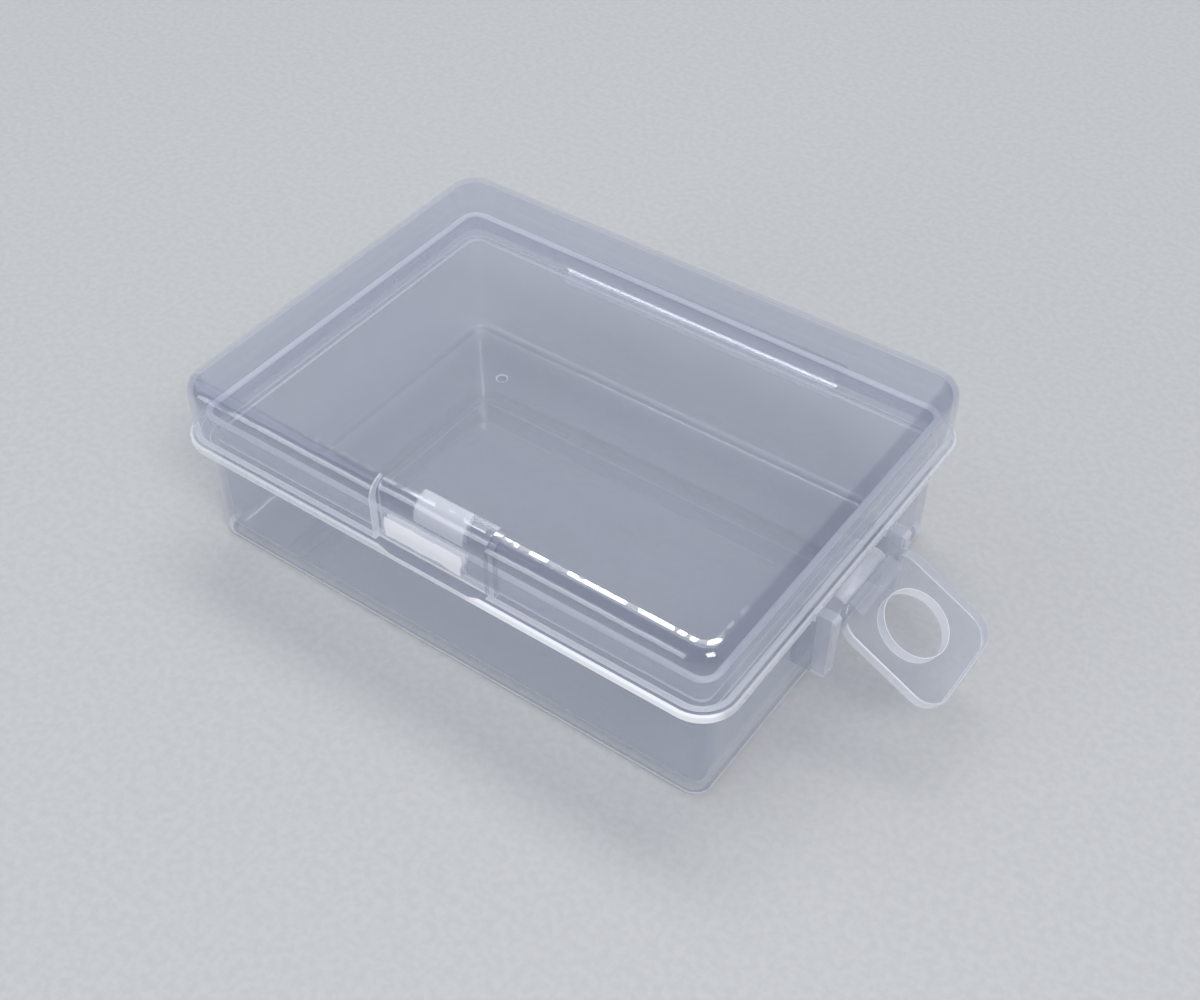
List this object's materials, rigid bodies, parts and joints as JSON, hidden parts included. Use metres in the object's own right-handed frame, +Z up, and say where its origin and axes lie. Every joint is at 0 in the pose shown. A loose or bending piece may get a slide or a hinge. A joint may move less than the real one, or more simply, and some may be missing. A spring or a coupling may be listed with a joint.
{
  "type": "hinged pick box with hang tab",
  "caption": "Clear rounded rectangular box with a snap-shut lid on a living hinge, a thumb recess in front and a swinging hang tab with a peg hole on one short side.",
  "frame": {"origin": "centre of the tray's underside", "axes": "+X along the long sides towards the hang tab, +Y towards the lid's hinge, +Z up through the closed lid"},
  "size_m": [0.1053, 0.0662, 0.029],
  "materials": {
    "tray_plastic": "clear polypropylene, slightly milky, polished",
    "lid_plastic": "clear polypropylene, polished, with a matte patch at the thumb recess",
    "tab_plastic": "clear polypropylene, polished",
    "hinge_plastic": "thin polypropylene, slightly whitened where it bends",
    "catch_plastic": "frosted polypropylene"
  },
  "bodies": {
    "tray": {"base_tray": "tray_plastic", "tab_stop_front": "tray_plastic", "tab_stop_rear": "tray_plastic", "tray_catch_bead": "catch_plastic", "lid_hinge_web": "hinge_plastic", "tab_hinge_web": "hinge_plastic"},
    "lid": {"lid_shell": "lid_plastic", "lid_hinge_leaf": "hinge_plastic", "lid_catch_bead": "catch_plastic"},
    "tab": {"hang_tab": "tab_plastic"}
  },
  "joints": [
    {"name": "lid_hinge", "type": "hinge", "parent": "tray", "child": "lid", "pos_m": [0, 0.0329, 0.0193], "axis": [-1, 0, 0], "range_deg": [0, 178], "deforming": ["lid_hinge_web"]},
    {"name": "tab_hinge", "type": "hinge", "parent": "tray", "child": "tab", "pos_m": [0.0449, 0, 0.01845], "axis": [0, 1, 0], "range_deg": [-117.7, 0], "deforming": ["tab_hinge_web"]}
  ]
}
